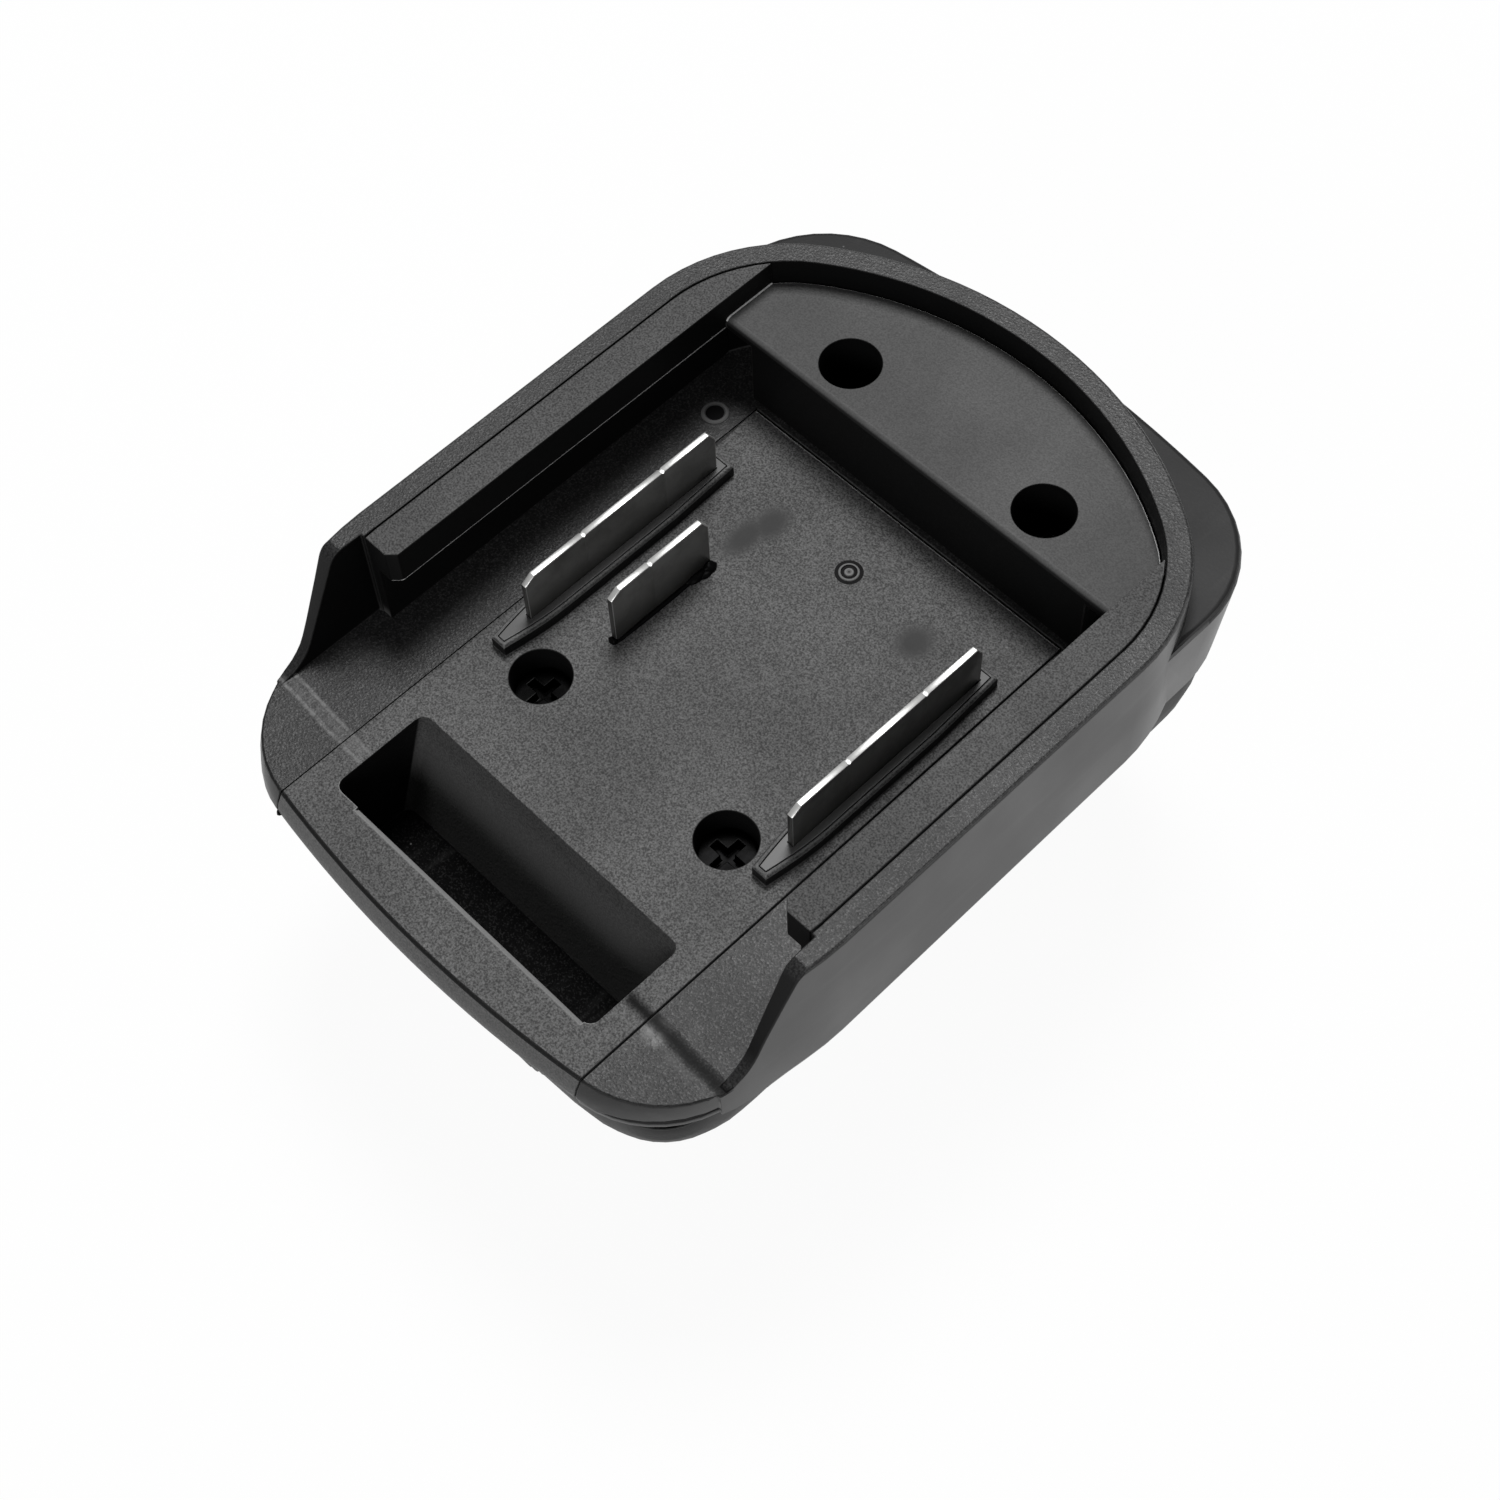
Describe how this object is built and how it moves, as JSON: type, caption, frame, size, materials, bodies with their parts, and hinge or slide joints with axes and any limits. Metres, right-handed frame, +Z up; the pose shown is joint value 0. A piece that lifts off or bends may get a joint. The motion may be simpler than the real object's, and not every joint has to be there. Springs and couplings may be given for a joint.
{
  "type": "tool battery adapter",
  "caption": "Slide-on battery adapter: a rimmed dock with rails, blade contacts and a latch pocket above, and a railed foot with fork contacts and a sprung latch for the tool below.",
  "frame": {"origin": "middle of the bounding box at its base, under the foot's flat bottom", "axes": "+Z up, the dock's open top; +Y from the latch pocket to the arched rear, the way a battery slides in; +X to the right seen from the front"},
  "size_m": [0.0754, 0.1024, 0.0536],
  "materials": {
    "shell_plastic": "semi-matte moulded charcoal plastic",
    "dock_plastic": "fine spark-eroded matte charcoal plastic",
    "carrier_plastic": "plain dark insulating plastic",
    "latch_plastic": "smooth dark plastic",
    "plated_contact": "nickel-plated sheet",
    "bronze_contact": "spring bronze sheet",
    "spring_steel": "bright drawn wire",
    "screw_steel": "black-zinc plated steel"
  },
  "bodies": {
    "adapter": {"outer_shell": "shell_plastic", "rail_frame": "dock_plastic", "terminal_base": "dock_plastic", "terminal_block": "carrier_plastic", "positive_blade": "plated_contact", "negative_blade": "plated_contact", "signal_blade": "plated_contact", "lower_housing": "shell_plastic", "tool_foot": "dock_plastic", "clip_carrier": "carrier_plastic", "positive_clip": "bronze_contact", "negative_clip": "bronze_contact", "signal_clip": "bronze_contact", "positive_bus": "bronze_contact", "negative_bus": "bronze_contact", "signal_bus": "bronze_contact", "latch_springs": "spring_steel", "housing_screws": "screw_steel", "foot_screws": "screw_steel", "block_screws": "screw_steel"},
    "latch": {"release_latch": "latch_plastic"}
  },
  "joints": [
    {"name": "latch_slide", "type": "slide", "parent": "adapter", "child": "latch", "axis": [0, 0, 1], "range_m": [0, 0.0035], "stiffness_N_per_m": 400, "springref_m": -0.001, "deforming": ["latch_springs"]}
  ]
}
